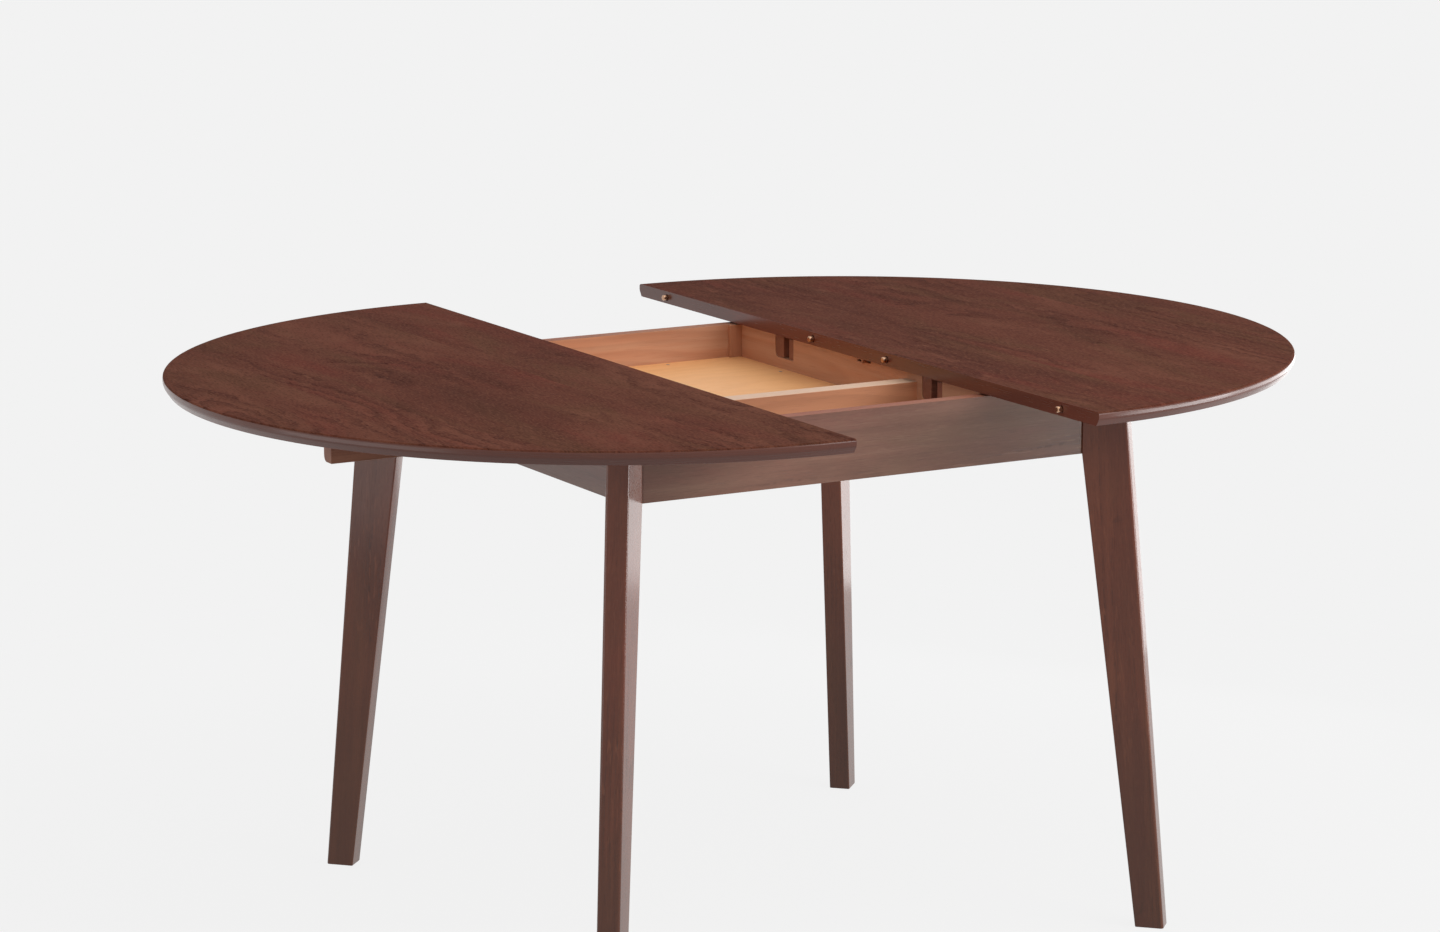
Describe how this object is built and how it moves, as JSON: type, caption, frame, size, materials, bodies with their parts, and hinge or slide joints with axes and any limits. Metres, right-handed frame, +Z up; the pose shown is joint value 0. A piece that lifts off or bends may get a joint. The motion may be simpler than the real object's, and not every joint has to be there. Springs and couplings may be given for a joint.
{
  "type": "round extension dining table",
  "caption": "Round wooden dining table on splayed board legs, pulled open on runners to take a leaf, with a storage well in the gap.",
  "frame": {"origin": "on the floor under the middle of the table", "axes": "+X along the way the halves slide, +Y along the gap away from the side with the open bay, +Z up"},
  "size_m": [1.5498, 1.2, 0.75],
  "materials": {
    "stained_wood": "open-grain ash, stained dark reddish brown, satin lacquer",
    "stained_rails": "stained hardwood, thin lacquer",
    "pale_wood": "planed pale wood, clear sealed",
    "plywood": "birch plywood, clear lacquer",
    "bright_steel": "zinc plated",
    "dark_steel": "dark plated",
    "brass": "turned, bright"
  },
  "bodies": {
    "frame": {"slide_channel_left_front": "bright_steel", "slide_channel_left_back": "bright_steel", "slide_channel_right_front": "bright_steel", "slide_channel_right_back": "bright_steel", "channel_screws": "dark_steel", "guide_bar_left_front": "stained_rails", "guide_bar_left_back": "stained_rails", "guide_bar_right_front": "stained_rails", "guide_bar_right_back": "stained_rails", "guide_bar_screws": "dark_steel", "apron_front": "stained_wood", "apron_back": "stained_wood", "apron_left": "stained_wood", "apron_right": "stained_wood", "cross_wall_left": "pale_wood", "cross_wall_right": "pale_wood", "frame_dowels": "pale_wood", "corner_block_front_left": "pale_wood", "corner_block_front_right": "pale_wood", "corner_block_back_left": "pale_wood", "corner_block_back_right": "pale_wood", "well_floor": "plywood", "well_front_rail": "pale_wood", "well_corner_strips": "pale_wood", "floor_cleat_left": "pale_wood", "floor_cleat_right": "pale_wood", "floor_cleat_front": "pale_wood", "floor_cleat_back": "pale_wood", "cleat_screws": "dark_steel", "floor_screws": "bright_steel", "leg_front_left": "stained_wood", "leg_front_right": "stained_wood", "leg_back_left": "stained_wood", "leg_back_right": "stained_wood", "leg_bolts": "bright_steel", "leg_washers": "bright_steel", "leg_inserts": "brass"},
    "left_half": {"top_left": "stained_wood", "pin_sleeves": "brass", "runner_left_front": "stained_rails", "runner_left_back": "stained_rails", "slide_rail_left_front": "bright_steel", "slide_rail_left_back": "bright_steel", "runner_screws_left": "dark_steel", "rail_screws_left": "dark_steel", "lock_plate": "bright_steel", "lock_plate_screws": "dark_steel"},
    "right_half": {"top_right": "stained_wood", "locating_pins": "brass", "runner_right_front": "stained_rails", "runner_right_back": "stained_rails", "slide_rail_right_front": "bright_steel", "slide_rail_right_back": "bright_steel", "runner_screws_right": "dark_steel", "rail_screws_right": "dark_steel", "lock_keeper": "bright_steel", "lock_keeper_screws": "dark_steel"},
    "lock_bolt": {"lock_bolt": "dark_steel"}
  },
  "joints": [
    {"name": "left_half_slide", "type": "slide", "parent": "frame", "child": "left_half", "axis": [1, 0, 0], "range_m": [0, 0.17475]},
    {"name": "right_half_slide", "type": "slide", "parent": "frame", "child": "right_half", "axis": [-1, 0, 0], "range_m": [0, 0.17475]},
    {"name": "lock_bolt_slide", "type": "slide", "parent": "left_half", "child": "lock_bolt", "axis": [1, 0, 0], "range_m": [0, 0.015]}
  ]
}
